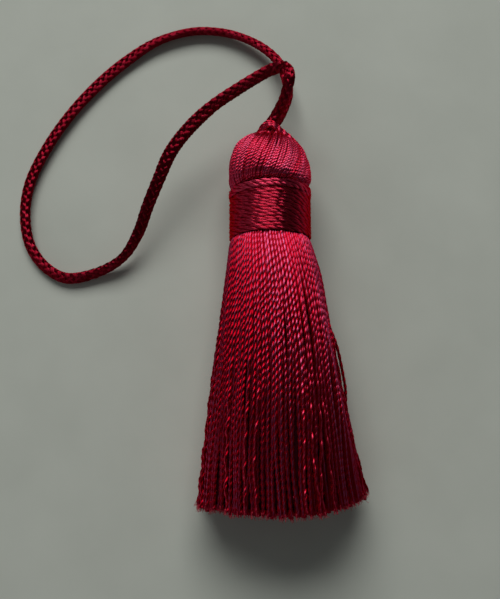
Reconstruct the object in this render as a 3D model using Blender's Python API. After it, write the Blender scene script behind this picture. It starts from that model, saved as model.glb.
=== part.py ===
"""Silk tassel lying on its back: a hank of twisted silk doubled over a hanging cord, bound at the neck.

Metres, +Z up. The tassel lies along Y with its head at +Y and its cut ends at -Y, and rests on Z = 0.
The origin is the middle of the hank's footprint. Sizes below are in millimetres and become metres
through MM.
"""
import math
from collections import namedtuple

import bmesh
import bpy
from mathutils import Vector

MM = 0.001
GAP = 0.3                      # clear space kept between neighbouring pieces

# Head and neck of the hank: round about one axis, which runs along Y.
AXIS_X = -2.3                  # the skirt spreads more to +X, so the axis is left of the origin
AXIS_Z = 7.6
HEAD_RADIUS = 7.8
HEAD_HALF_LENGTH = 8.6         # half axis of the head's dome along Y
HEAD_CENTRE_Y = 25.3           # where the head is widest
NECK_RADIUS = 6.4
SHOULDER_ROUND = 0.5           # rounding of the yarn where it turns in under the binding

# The gathered yarn at the apex, where both ends of the cord go in.
NUB_FACE_Y = 35.5
NUB_ROOT_Y = 33.6
NUB_HALF_WIDTH = 2.1
NUB_HALF_HEIGHT = 2.5
NUB_ROUND = 0.4

# Neck binding: fine silk wound round the neck.
BINDING_TOP_Y = 22.8
BINDING_BOTTOM_Y = 12.9
BINDING_RADIUS = 7.65
BINDING_EDGE_DROP = 0.35       # the winding thins towards both edges
BINDING_BARREL = 0.1           # and is this much fuller at mid length
BINDING_AROUND = 64
BINDING_STEPS = 6

# Skirt of cut strands: one row for each station from the binding to the cut ends.
SkirtRow = namedtuple("SkirtRow", "y left right top widest_z bundle")
SKIRT = [
    SkirtRow(12.3, -9.95, 5.35, 15.2, 7.6, 0.06),
    SkirtRow(9.0, -10.35, 6.35, 16.2, 7.5, 0.10),
    SkirtRow(5.5, -10.80, 7.40, 17.0, 7.3, 0.14),
    SkirtRow(-3.5, -11.80, 9.45, 18.5, 7.0, 0.20),
    SkirtRow(-12.5, -13.00, 11.40, 18.9, 6.6, 0.26),
    SkirtRow(-21.5, -14.15, 13.15, 18.4, 6.2, 0.32),
    SkirtRow(-28.5, -14.95, 14.40, 17.4, 5.8, 0.38),
    SkirtRow(-35.5, -15.55, 15.50, 16.2, 5.4, 0.44),
]
SKIRT_STEPS = 18

# The cut ends: strands of equal length end nearer the head where they spread sideways.
END_LIFT_RIGHT = 3.0
END_LIFT_LEFT = 0.9
END_RAGGED = 0.35
NOTCH_ANGLE = math.radians(197.0)   # a parting low on the left, where the ends stand apart
NOTCH_WIDTH = math.radians(7.0)
NOTCH_DEPTH = 1.3

# Strand bundles that stand out of the surface: waves about the axis with their weight and phase.
BundleWave = namedtuple("BundleWave", "count weight phase")
BUNDLES = [
    BundleWave(9, 0.45, 0.6),
    BundleWave(14, 0.35, 2.1),
    BundleWave(21, 0.20, 4.0),
]
HEAD_RIDGES = 14
HEAD_RIDGE_DEPTH = 0.12
HEAD_RIDGE_TWIST = 0.07        # radians of slant for each millimetre along the head

HANK_AROUND = 84
HEAD_STEPS = 11

# Hanging cord: a braid that leaves the apex, loops round to the left and goes back in below itself.
CORD_DIAMETER = 1.8
CORD_STEP = 2.4                # spacing of the points on the finished route
CORD_ROUTE = [
    (-2.0, 36.1, 8.8),
    (-1.3, 37.1, 9.2),
    (-0.5, 38.2, 10.2),
    (0.3, 39.3, 11.8),
    (0.9, 40.8, 13.2),
    (1.3, 42.6, 13.9),
    (0.9, 44.4, 13.4),
    (-0.3, 45.5, 12.3),
    (-2.2, 45.5, 11.2),
    (-5.0, 44.0, 10.9),
    (-8.3, 41.8, 10.9),
    (-13.1, 38.5, 10.5),
    (-17.8, 34.2, 9.6),
    (-21.1, 30.0, 8.6),
    (-23.4, 25.2, 7.2),
    (-25.6, 20.3, 5.6),
    (-27.5, 15.6, 3.9),
    (-30.6, 11.1, 2.4),
    (-35.6, 8.4, 1.3),
    (-41.6, 7.3, 0.9),
    (-45.8, 9.5, 0.9),
    (-49.0, 13.8, 0.9),
    (-50.4, 20.0, 0.9),
    (-49.9, 26.5, 0.95),
    (-47.1, 33.6, 1.0),
    (-42.9, 40.7, 1.0),
    (-37.8, 47.1, 1.0),
    (-32.0, 52.7, 1.0),
    (-25.1, 57.5, 1.0),
    (-17.4, 59.7, 1.1),
    (-10.6, 59.1, 1.5),
    (-4.3, 56.1, 2.1),
    (-0.3, 52.0, 2.8),
    (1.2, 47.8, 3.6),
    (1.5, 43.9, 4.5),
    (0.6, 40.7, 5.3),
    (-0.5, 38.0, 6.1),
    (-1.7, 36.0, 6.5),
]

CRIMSON_STRAND = (0.36, 0.012, 0.040, 1.0)
CRIMSON_BINDING = (0.30, 0.008, 0.030, 1.0)
CRIMSON_CORD = (0.26, 0.007, 0.022, 1.0)


def clear_scene():
    """Remove every object, then the meshes and curves that they leave behind."""
    for scene_object in list(bpy.data.objects):
        bpy.data.objects.remove(scene_object, do_unlink=True)


def silk_material(name, colour, roughness):
    """A Principled finish for dyed silk."""
    material = bpy.data.materials.new(name)
    material.use_nodes = True
    shader = material.node_tree.nodes["Principled BSDF"]
    shader.inputs["Base Color"].default_value = colour
    shader.inputs["Roughness"].default_value = roughness
    shader.inputs["Metallic"].default_value = 0.0
    return material


def add_object(name, data, collection, material):
    """Link new object data into the collection with its material."""
    data.materials.append(material)
    new_object = bpy.data.objects.new(name, data)
    collection.objects.link(new_object)
    return new_object


def smooth_value(rows, column, y):
    """A column of the skirt table at y, on a Catmull-Rom curve through the rows."""
    last = len(rows) - 1
    index = 0
    while index < last - 1 and y < rows[index + 1].y:
        index += 1
    start, end = rows[index], rows[index + 1]
    before, after = rows[max(index - 1, 0)], rows[min(index + 2, last)]
    span = end.y - start.y
    share = (y - start.y) / span
    value = [getattr(row, column) for row in (before, start, end, after)]
    slope_in = (value[2] - value[0]) / (end.y - before.y) * span
    slope_out = (value[3] - value[1]) / (after.y - start.y) * span
    square, cube = share ** 2, share ** 3
    return ((2 * cube - 3 * square + 1) * value[1] + (cube - 2 * square + share) * slope_in
            + (3 * square - 2 * cube) * value[2] + (cube - square) * slope_out)


def bundle_wave(angle):
    """Height of the strand bundles about the axis, between -1 and 1."""
    return sum(wave.weight * math.cos(wave.count * angle + wave.phase) for wave in BUNDLES)


def head_ridge(angle, y):
    """Slanting ridges of the strands that run over the head, between -1 and 1."""
    return math.cos(HEAD_RIDGES * (angle + HEAD_RIDGE_TWIST * (y - HEAD_CENTRE_Y)))


def section(y, centre_x, centre_z, half_width, half_height, relief=None):
    """One ring of points about the hank at y, flat where it would go below the surface."""
    points = []
    for step in range(HANK_AROUND):
        angle = 2 * math.pi * step / HANK_AROUND
        out = relief(angle) if relief else 0.0
        x = centre_x + (half_width + out) * math.cos(angle)
        z = centre_z + (half_height + out) * math.sin(angle)
        points.append(Vector((x, y, max(z, 0.0))))
    return points


def round_section(y, radius, relief=None):
    """A ring of the head or the neck."""
    return section(y, AXIS_X, AXIS_Z, radius, radius, relief)


def apex_sections():
    """The gathered yarn at the apex, from its face down to the dome."""
    rings = [section(NUB_FACE_Y, AXIS_X, AXIS_Z, NUB_HALF_WIDTH - NUB_ROUND, NUB_HALF_HEIGHT - NUB_ROUND)]
    for y in (NUB_FACE_Y - NUB_ROUND, NUB_ROOT_Y):
        rings.append(section(y, AXIS_X, AXIS_Z, NUB_HALF_WIDTH, NUB_HALF_HEIGHT))
    return rings


def head_sections():
    """The dome, by equal steps of angle from near the apex to under the widest ring."""
    start = math.acos((NUB_ROOT_Y - 0.45 - HEAD_CENTRE_Y) / HEAD_HALF_LENGTH)
    tuck_y = BINDING_TOP_Y + GAP + SHOULDER_ROUND
    finish = math.acos((tuck_y - HEAD_CENTRE_Y) / HEAD_HALF_LENGTH)
    rings = []
    for step in range(HEAD_STEPS + 1):
        lean = start + (finish - start) * step / HEAD_STEPS
        y = HEAD_CENTRE_Y + HEAD_HALF_LENGTH * math.cos(lean)
        radius = HEAD_RADIUS * math.sin(lean)
        depth = HEAD_RIDGE_DEPTH * math.sin(lean)
        rings.append(round_section(y, radius, lambda angle, y=y, depth=depth: depth * head_ridge(angle, y)))
    return rings


def neck_sections():
    """The yarn turns in under the binding, runs along the neck and turns out again."""
    top = BINDING_TOP_Y + GAP
    bottom = BINDING_BOTTOM_Y - GAP
    return [
        round_section(top, HEAD_RADIUS - 2 * SHOULDER_ROUND),
        round_section(top - SHOULDER_ROUND, NECK_RADIUS),
        round_section(bottom + SHOULDER_ROUND, NECK_RADIUS),
        round_section(bottom, NECK_RADIUS + 0.6),
    ]


def skirt_section(y):
    """A ring of the skirt, read from the table."""
    left = smooth_value(SKIRT, "left", y)
    right = smooth_value(SKIRT, "right", y)
    top = smooth_value(SKIRT, "top", y)
    widest_z = smooth_value(SKIRT, "widest_z", y)
    bundle = smooth_value(SKIRT, "bundle", y)
    half_width = (right - left) / 2 - bundle / 2
    half_height = top - widest_z - bundle / 2
    return section(y, (left + right) / 2, widest_z, half_width, half_height,
                   lambda angle: bundle * bundle_wave(angle))


def skirt_sections():
    """The skirt from the binding to its cut ends, which run uneven."""
    start, end = SKIRT[0].y, SKIRT[-1].y
    rings = [skirt_section(start + (end - start) * step / SKIRT_STEPS) for step in range(SKIRT_STEPS + 1)]
    for weight, ring in ((0.25, rings[-3]), (0.55, rings[-2]), (1.0, rings[-1])):
        for step, point in enumerate(ring):
            angle = 2 * math.pi * step / HANK_AROUND
            point.y += weight * end_lift(angle)
    return rings


def end_lift(angle):
    """How far the cut ends stop short of the longest strand at this angle."""
    across = math.cos(angle)
    side = END_LIFT_RIGHT if across > 0 else END_LIFT_LEFT
    ragged = END_RAGGED * (1 + math.cos(17 * angle + 1.3) * math.cos(5 * angle)) / 2
    off = (angle - NOTCH_ANGLE) / NOTCH_WIDTH
    return side * abs(across) ** 3 + ragged + NOTCH_DEPTH * math.exp(-off * off)


def loft(name, rings):
    """A closed mesh through the rings, capped by a fan at each end, in metres."""
    mesh_data = bmesh.new()
    loops = [[mesh_data.verts.new(point * MM) for point in ring] for ring in rings]
    count = len(rings[0])
    for near, far in zip(loops, loops[1:]):
        for step in range(count):
            after = (step + 1) % count
            mesh_data.faces.new((near[step], near[after], far[after], far[step]))
    for ring in (loops[0], loops[-1]):
        middle = sum((vert.co for vert in ring), Vector()) / count
        centre = mesh_data.verts.new(middle)
        for step in range(count):
            mesh_data.faces.new((centre, ring[step], ring[(step + 1) % count]))
    bmesh.ops.recalc_face_normals(mesh_data, faces=mesh_data.faces)
    mesh = bpy.data.meshes.new(name)
    mesh_data.to_mesh(mesh)
    mesh_data.free()
    mesh.shade_smooth()
    mesh.set_sharp_from_angle(angle=math.radians(50))
    return mesh


def build_hank(collection):
    """Head, neck and skirt: the same strands from the apex to the cut ends, so one solid."""
    rings = apex_sections() + head_sections() + neck_sections() + skirt_sections()
    material = silk_material("crimson_silk_strand", CRIMSON_STRAND, 0.42)
    return add_object("strand_hank", loft("strand_hank", rings), collection, material)


def binding_profile():
    """Radius and y of the binding's section, once round, starting at its inner top edge."""
    inner = NECK_RADIUS + GAP
    length = BINDING_TOP_Y - BINDING_BOTTOM_Y
    outer = []
    for step in range(BINDING_STEPS + 1):
        share = step / BINDING_STEPS
        fullness = math.sin(math.pi * share)
        edge = BINDING_EDGE_DROP if step in (0, BINDING_STEPS) else 0.0
        outer.append((BINDING_RADIUS - BINDING_BARREL * (1 - fullness) - edge,
                      BINDING_TOP_Y - length * share))
    return [(inner, BINDING_TOP_Y)] + outer + [(inner, BINDING_BOTTOM_Y)]


def build_binding(collection):
    """The wound band about the neck: its section carried once round the axis."""
    mesh_data = bmesh.new()
    columns = []
    for step in range(BINDING_AROUND):
        angle = 2 * math.pi * step / BINDING_AROUND
        column = []
        for radius, y in binding_profile():
            x = AXIS_X + radius * math.cos(angle)
            z = AXIS_Z + radius * math.sin(angle)
            column.append(mesh_data.verts.new(Vector((x, y, max(z, 0.0))) * MM))
        columns.append(column)
    height = len(columns[0])
    for step in range(BINDING_AROUND):
        here, there = columns[step], columns[(step + 1) % BINDING_AROUND]
        for row in range(height):
            after = (row + 1) % height
            mesh_data.faces.new((here[row], there[row], there[after], here[after]))
    bmesh.ops.recalc_face_normals(mesh_data, faces=mesh_data.faces)
    mesh = bpy.data.meshes.new("neck_binding")
    mesh_data.to_mesh(mesh)
    mesh_data.free()
    mesh.shade_smooth()
    mesh.set_sharp_from_angle(angle=math.radians(50))
    material = silk_material("crimson_silk_winding", CRIMSON_BINDING, 0.38)
    return add_object("neck_binding", mesh, collection, material)


def smooth_route(points, samples=16):
    """Points on a centripetal Catmull-Rom curve through the route's own points."""
    route = [Vector(point) for point in points]
    route = [2 * route[0] - route[1]] + route + [2 * route[-1] - route[-2]]
    curve = []
    for p0, p1, p2, p3 in zip(route, route[1:], route[2:], route[3:]):
        t1 = (p1 - p0).length ** 0.5
        t2 = t1 + (p2 - p1).length ** 0.5
        t3 = t2 + (p3 - p2).length ** 0.5
        for step in range(samples):
            t = t1 + (t2 - t1) * step / samples
            a1 = p0.lerp(p1, t / t1)
            a2 = p1.lerp(p2, (t - t1) / (t2 - t1))
            a3 = p2.lerp(p3, (t - t2) / (t3 - t2))
            b1 = a1.lerp(a2, t / t2)
            b2 = a2.lerp(a3, (t - t1) / (t3 - t1))
            curve.append(b1.lerp(b2, (t - t1) / (t2 - t1)))
    curve.append(route[-2])
    return curve


def even_points(curve, spacing):
    """The curve's points at an even spacing, both ends kept."""
    lengths = [0.0]
    for start, end in zip(curve, curve[1:]):
        lengths.append(lengths[-1] + (end - start).length)
    count = max(1, round(lengths[-1] / spacing))
    points = []
    index = 0
    for step in range(count + 1):
        target = lengths[-1] * step / count
        while index < len(curve) - 2 and lengths[index + 1] < target:
            index += 1
        span = lengths[index + 1] - lengths[index]
        points.append(curve[index].lerp(curve[index + 1], (target - lengths[index]) / span))
    return points


def build_cord(collection):
    """The hanging loop: one tube along its whole route."""
    curve = bpy.data.curves.new("cord_loop", "CURVE")
    curve.dimensions = "3D"
    curve.bevel_depth = CORD_DIAMETER / 2 * MM
    curve.bevel_resolution = 2
    curve.use_fill_caps = True
    points = even_points(smooth_route(CORD_ROUTE), CORD_STEP)
    spline = curve.splines.new("POLY")
    spline.points.add(len(points) - 1)
    for spline_point, point in zip(spline.points, points):
        spline_point.co = (*(point * MM), 1.0)
    material = silk_material("crimson_silk_braid", CRIMSON_CORD, 0.40)
    return add_object("cord_loop", curve, collection, material)


def main():
    """Build the tassel in a collection of its own."""
    clear_scene()
    collection = bpy.data.collections.new("silk_tassel")
    bpy.context.scene.collection.children.link(collection)
    build_hank(collection)
    build_binding(collection)
    build_cord(collection)


main()
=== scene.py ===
# %% [markdown]
# # A silk tassel on its braided loop
#
# A tassel is a hank of twisted silk yarn, folded over a cord and bound round just below the fold.
# Above the binding the folded yarn makes a round head, below it the cut yarn fans out as a skirt.
# The CAD model holds these as three plain solids. This lesson dresses them with every yarn that shows:
# each is a real twisted thread, laid on the CAD surface, because light on silk is all about
# the direction of its threads.

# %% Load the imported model
import math

import bmesh
import bpy
import numpy as np
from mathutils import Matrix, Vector
from mathutils.bvhtree import BVHTree


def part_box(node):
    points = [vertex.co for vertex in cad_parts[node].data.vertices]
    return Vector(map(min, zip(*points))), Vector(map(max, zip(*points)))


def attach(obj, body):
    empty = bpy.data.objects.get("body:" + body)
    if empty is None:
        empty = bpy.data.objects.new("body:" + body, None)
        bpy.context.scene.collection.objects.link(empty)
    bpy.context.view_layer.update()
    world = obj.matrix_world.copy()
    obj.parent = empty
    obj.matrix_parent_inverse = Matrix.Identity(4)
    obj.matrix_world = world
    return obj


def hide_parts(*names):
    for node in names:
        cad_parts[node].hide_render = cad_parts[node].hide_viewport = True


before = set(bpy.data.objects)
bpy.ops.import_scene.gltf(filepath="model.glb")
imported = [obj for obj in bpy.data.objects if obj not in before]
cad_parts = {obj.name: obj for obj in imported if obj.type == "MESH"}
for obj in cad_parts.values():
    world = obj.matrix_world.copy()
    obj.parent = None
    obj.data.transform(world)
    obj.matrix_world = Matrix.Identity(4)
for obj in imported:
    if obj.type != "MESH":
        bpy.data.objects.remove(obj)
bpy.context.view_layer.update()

MM = 0.001
TURN = 2 * math.pi
ANY_PHASE = 6.3                      # radians, a full turn rounded up, for random starts of waves
chance = np.random.default_rng(11)   # seeded, so that every run lays the same yarns
hank_low, hank_high = (np.array(corner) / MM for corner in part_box("strand_hank"))
wrap_low, wrap_high = (np.array(corner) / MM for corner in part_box("neck_binding"))
print("hank", hank_low.round(2), hank_high.round(2))
print("binding", wrap_low.round(2), wrap_high.round(2))

# %% [markdown]
# ## The camera and the light
#
# The tassel lies on its back and is looked at from above and a little from the cut ends.
# One large soft window behind the head does nearly all of the lighting. Silk shines only where its
# threads lean towards a light, so the place of that window decides which part of the skirt glows.
# Two weak wide lights, one from the left and one low beside the open end, and a faint sky keep the
# shaded sides from going black.

# %% Camera
VIEW_TARGET = Vector((-6.05, 3.3, 0.0))     # mm
VIEW_DISTANCE = 136.0
VIEW_LEAN = math.radians(10.8)              # from straight above, towards the cut ends

view_place = VIEW_TARGET + VIEW_DISTANCE * Vector((0.0, -math.sin(VIEW_LEAN), math.cos(VIEW_LEAN)))
camera_data = bpy.data.cameras.new("camera")
camera_data.lens = 42.07
camera_data.sensor_width = 36.0
camera_data.clip_start = 0.01
camera = bpy.data.objects.new("camera", camera_data)
camera.location = view_place * MM
camera.rotation_euler = (VIEW_TARGET - view_place).to_track_quat("-Z", "Y").to_euler()
bpy.context.scene.collection.objects.link(camera)
bpy.context.scene.camera = camera
bpy.context.scene.view_settings.view_transform = "Standard"
print("camera at", tuple(round(value, 2) for value in view_place), "mm")

# %% Lights
WINDOWS = (     # name, place and size in mm, watts, tint
    ("window_behind_head", (-80.0, 660.0, 590.0), (760.0, 460.0), 5.1, (1.0, 0.99, 0.97)),
    ("fill_from_left", (-800.0, 60.0, 420.0), (700.0, 500.0), 0.22, (0.95, 0.98, 1.0)),
    ("fill_from_open_end", (-420.0, -620.0, 260.0), (900.0, 300.0), 0.45, (0.98, 0.99, 1.0)),
)
SKY_TINT = (0.80, 0.84, 0.86, 1.0)
SKY_STRENGTH = 0.05

for name, place, size, power, tint in WINDOWS:
    light = bpy.data.lights.new(name, "AREA")
    light.shape = "RECTANGLE"
    light.size, light.size_y = size[0] * MM, size[1] * MM
    light.energy = power
    light.color = tint
    lamp = bpy.data.objects.new(name, light)
    lamp.location = Vector(place) * MM
    lamp.rotation_euler = (-Vector(place)).to_track_quat("-Z", "Y").to_euler()
    bpy.context.scene.collection.objects.link(lamp)
    print(name, power, "W")
world = bpy.data.worlds.new("studio")
bpy.context.scene.world = world
world.use_nodes = True
world.node_tree.nodes["Background"].inputs["Color"].default_value = SKY_TINT
world.node_tree.nodes["Background"].inputs["Strength"].default_value = SKY_STRENGTH

# %% [markdown]
# ## Helpers for finishes
#
# Colours are written as the hex codes that a paint program shows, and turned to the linear values
# that a shader works in. One helper adds a node, sets its values and links its inputs.

# %% Colour and node helpers
def colour(code):
    """Linear RGBA from an sRGB hex code."""
    channels = [int(code[start:start + 2], 16) / 255 for start in (0, 2, 4)]
    return tuple(c / 12.92 if c <= 0.04045 else ((c + 0.055) / 1.055) ** 2.4 for c in channels) + (1.0,)


def add_node(material, kind, inputs=None, **settings):
    """A new node with its settings, and its inputs set to values or linked from outputs."""
    node = material.node_tree.nodes.new("ShaderNode" + kind)
    for name, value in settings.items():
        setattr(node, name, value)
    for name, value in (inputs or {}).items():
        if isinstance(value, bpy.types.NodeSocket):
            material.node_tree.links.new(value, node.inputs[name])
        else:
            node.inputs[name].default_value = value
    return node


def new_material(name):
    """An empty node material and its Principled shader."""
    material = bpy.data.materials.new(name)
    material.use_nodes = True
    return material, material.node_tree.nodes["Principled BSDF"]


def add_ramp(material, factor, stops):
    """A colour ramp through (position, hex code) stops, as an output."""
    ramp = add_node(material, "ValToRGB", {"Fac": factor})
    elements = ramp.color_ramp.elements
    while len(elements) < len(stops):
        elements.new(0.5)
    for element, (position, code) in zip(elements, stops):
        element.position = position
        element.color = colour(code)
    return ramp.outputs["Color"]


print("crimson C2123A in linear values:", [round(channel, 3) for channel in colour("C2123A")[:3]])

# %% [markdown]
# ## Finish: twisted silk yarn
# The crests of the plies stay pale, while their valleys and the sides of each yarn go a darker red: painted
# shade, where neighbouring plies and yarns would shade them.
#
# The yarn is degummed silk (or a bright viscose that stands in for it): hundreds of smooth
# endless filaments, dyed crimson and twisted in two plies. Three things make it look like silk.
# The filaments are tiny mirrors that lie side by side, so the gloss is stretched across the yarn
# and is sharp along it: that is the shader's anisotropy. Its tangent is the direction of the filaments,
# which every yarn carries as an attribute called fibre. The shine is coloured, because most of it has
# been through the dyed filaments. And each yarn has taken the dye a little differently.
#
# A filament is about a hundredth of a millimetre thick, too fine to show. So the streaks round a yarn
# are drawn about 0.2 mm wide, and each stands for a tow of filaments that lie alike.

# %% Silk finish
STREAKS_PER_MM = 0.55      # along the yarn: a streak changes after about 2 mm
GRAIN_TONE = 0.8           # how far the streaks shift the tone of a yarn
DYE_TONE = 0.35            # and how far its own share of dye does
FLANK_EDGE = 0.65          # of the way from a valley, at 0, to a crest, at 1, where the painted shade of the flank ends
SIDE_EDGE = 0.8            # how squarely the yarn's side must face out to stay clear of the painted shade on its sides
GRAIN_RELIEF = 0.35        # height of the streaks beside that of the plies
RELIEF_DEPTH = 0.08 * MM
RELIEF_STRENGTH = 0.35
GRAIN_ROUGHNESS = 0.12
CUT_ROUGHNESS = 0.35       # more where the filaments have opened at a cut end


def silk_finish(name, painted_shade_colour, deep, mid, roughness, streaks, groove, stretch,
                shaded=0.0, cut=None, proud=None):
    """Dyed silk filaments: streaks is how many fine lines of filament show round one yarn.

    The crest of a ply runs from deep to mid. Its valley takes painted shade in the shade colour, less so as
    groove nears 1. shaded says how much of that painted shade the sides of the yarn get too, next to its
    neighbours. stretch is how far the gloss is drawn out. cut is the tone at a cut end, and proud the colour
    of a painted highlight on a yarn where it stands off the rest."""
    material, shader = new_material(name)
    uv = add_node(material, "UVMap", uv_map="yarn").outputs["UV"]
    drawn = add_node(material, "Mapping", {"Vector": uv, "Scale": (streaks, STREAKS_PER_MM, 1.0)})
    grain = add_node(material, "TexNoise", {"Vector": drawn.outputs["Vector"], "Scale": 1.0, "Detail": 3.0,
                                            "Roughness": 0.6}, noise_dimensions="2D").outputs["Fac"]
    shade = add_node(material, "Attribute", attribute_name="shade").outputs["Fac"]
    blend = add_node(material, "Math", {0: shade, 1: DYE_TONE}, operation="MULTIPLY").outputs[0]
    blend = add_node(material, "Math", {0: grain, 1: GRAIN_TONE, 2: blend},
                     operation="MULTIPLY_ADD").outputs[0]
    tone = add_ramp(material, blend, [(0.25, deep), (0.9, mid)])
    # Painted highlight: where a yarn stands proud, its tone goes to the brighter proud colour.
    if proud:
        proud_highlight = add_node(material, "Attribute", attribute_name="proud").outputs["Fac"]
        tone = add_node(material, "Mix", {"Factor": proud_highlight, 6: tone, 7: colour(proud)},
                        data_type="RGBA").outputs[2]

    # Painted shade: the valleys between the plies, and the sides of the yarn as far as shaded says, go to the
    # shade colour.
    around_yarn = add_node(material, "SeparateXYZ", {"Vector": uv}).outputs["X"]
    turn = add_node(material, "Math", {0: around_yarn, 1: TURN}, operation="MULTIPLY").outputs[0]
    ridge = add_node(material, "Math", {0: turn}, operation="COSINE").outputs[0]
    ridge = add_node(material, "Math", {0: ridge}, operation="ABSOLUTE").outputs[0]
    crest = add_node(material, "MapRange", {"Value": ridge, "From Min": 0.0, "From Max": FLANK_EDGE,
                                            "To Min": groove, "To Max": 1.0},
                     interpolation_type="SMOOTHSTEP").outputs["Result"]
    crown = add_node(material, "Attribute", attribute_name="crown").outputs["Fac"]
    lit = add_node(material, "MapRange", {"Value": crown, "From Min": SIDE_EDGE, "From Max": 1.0,
                                          "To Min": 1.0 - shaded, "To Max": 1.0},
                   interpolation_type="SMOOTHSTEP").outputs["Result"]
    lit = add_node(material, "Math", {0: lit, 1: crest}, operation="MULTIPLY").outputs[0]
    tone = add_node(material, "Mix", {"Factor": lit, 6: colour(painted_shade_colour), 7: tone}, data_type="RGBA").outputs[2]
    height = add_node(material, "Math", {0: grain, 1: GRAIN_RELIEF, 2: crest},
                      operation="MULTIPLY_ADD").outputs[0]
    rough_base = roughness
    if cut:
        ends = add_node(material, "Attribute", attribute_name="cut").outputs["Fac"]
        tone = add_node(material, "Mix", {"Factor": ends, 6: tone, 7: colour(cut)},
                        data_type="RGBA").outputs[2]
        rough_base = add_node(material, "Math", {0: ends, 1: CUT_ROUGHNESS, 2: roughness},
                              operation="MULTIPLY_ADD").outputs[0]
    rough = add_node(material, "Math", {0: grain, 1: GRAIN_ROUGHNESS, 2: rough_base},
                     operation="MULTIPLY_ADD").outputs[0]
    bump = add_node(material, "Bump", {"Height": height, "Strength": RELIEF_STRENGTH,
                                       "Distance": RELIEF_DEPTH}).outputs["Normal"]
    fibre = add_node(material, "Attribute", attribute_name="fibre").outputs["Vector"]
    for socket, source in (("Base Color", tone), ("Roughness", rough), ("Normal", bump), ("Tangent", fibre)):
        material.node_tree.links.new(source, shader.inputs[socket])
    shader.inputs["Anisotropic Rotation"].default_value = 0.25
    shader.inputs["Metallic"].default_value = 0.98       # its gloss takes the colour of the dye
    shader.inputs["Specular Tint"].default_value = colour("F04E5C")
    shader.inputs["Anisotropic"].default_value = stretch
    return material


print("the plies stand", round(RELIEF_DEPTH / MM, 3), "mm high in the relief of the finish")

# %% The four silks
# Loosely twisted yarn of the skirt: pale crests, painted shade on the flanks and sides, matt red at the cut,
# and a painted highlight where a yarn stands proud.
skirt_silk = silk_finish("twisted_silk_crimson", painted_shade_colour="BC0822", deep="C2123A", mid="CC6EA2",
                         roughness=0.41, streaks=9.0, groove=0.2, stretch=0.92, shaded=1.0,
                         cut="C01C3A", proud="FF4A70")
# The same yarn drawn tight over the head: its plies lie flatter, so it glows more evenly. Its colours are
# painted lighter than the skirt's, and its valleys and sides take painted shade.
head_silk_painted_lighter = silk_finish("gathered_silk_crimson", painted_shade_colour="C0061C", deep="DE1038", mid="FF78AC",
                        roughness=0.39, streaks=9.0, groove=0.1, stretch=0.92, shaded=0.6)
# Hard wound thread of the binding: deep red, with a narrow bright line along each turn, and painted shade
# filling the valleys between its plies.
wrap_silk = silk_finish("wound_silk_crimson", painted_shade_colour="780410", deep="B00C22", mid="F04C70",
                        roughness=0.34, streaks=9.0, groove=0.0, stretch=1.0)
# Flat tows of the braided cord: the darkest colours, painted shade for the way each dips under the next,
# and more painted shade on the sides of each tow.
braid_silk = silk_finish("braided_silk_crimson", painted_shade_colour="740818", deep="6E0818", mid="B0263F",
                         roughness=0.36, streaks=14.0, groove=1.0, stretch=1.0, shaded=0.5)
print("silks:", [silk.name for silk in (skirt_silk, head_silk_painted_lighter, wrap_silk, braid_silk)])

# %% Silk in deep shade
CORE_PATCHES_PER_METRE = 900.0       # so a patch is about 1.1 mm, as wide as one or two yarns


def cloudy_finish(name, patches_per_metre, detail, darker, lighter):
    """A matt material whose tone wanders in soft patches between two colours, and its shader."""
    material, shader = new_material(name)
    place = add_node(material, "TexCoord").outputs["Object"]
    patches = add_node(material, "TexNoise", {"Vector": place, "Scale": patches_per_metre,
                                              "Detail": detail}).outputs["Fac"]
    tone = add_ramp(material, patches, [(0.3, darker), (0.7, lighter)])
    material.node_tree.links.new(tone, shader.inputs["Base Color"])
    shader.inputs["Roughness"].default_value = 0.9
    return material, shader


# The core's dark wine is painted shade, far darker than the crimson of the silk itself, and nearly without
# gloss.
core_painted_dark, core_shader = cloudy_finish("shaded_silk_wine", CORE_PATCHES_PER_METRE, 2.0, "2A0209", "440513")
core_shader.inputs["Specular IOR Level"].default_value = 0.1
print("finish", core_painted_dark.name)

# %% [markdown]
# ## Helpers for yarn
#
# A two-ply yarn is two round plies twisted about each other. Its cross-section is a figure of eight,
# so an outline pinched at the waist, spun about its own middle while it climbs, is a twisted yarn.
# That is one bmesh spin. An Array modifier then makes as many copies as a piece needs in one mesh,
# and a last helper bends each copy along a path of its own.

# %% Copies of a mesh
JOIN_DISTANCE = 1e-4      # of the yarn's radius, within which the ends of two copies are joined


def array_mesh(name, mesh, count, offset, merge):
    """The mesh repeated by an Array modifier."""
    source = bpy.data.objects.new(name + "_source", mesh)
    bpy.context.scene.collection.objects.link(source)
    array = source.modifiers.new("copies", "ARRAY")
    array.count = count
    array.use_relative_offset = False
    array.use_constant_offset = True
    array.constant_offset_displace = offset
    array.use_merge_vertices = merge
    array.merge_threshold = JOIN_DISTANCE
    shaped = source.evaluated_get(bpy.context.evaluated_depsgraph_get())
    result = bpy.data.meshes.new_from_object(shaped)
    result.name = name
    bpy.data.objects.remove(source)
    return result


print("copies are joined within", JOIN_DISTANCE, "of their radius")

# %% A straight yarn
WAIST = 0.2      # of the master's outline, where 1 is its half width


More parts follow.
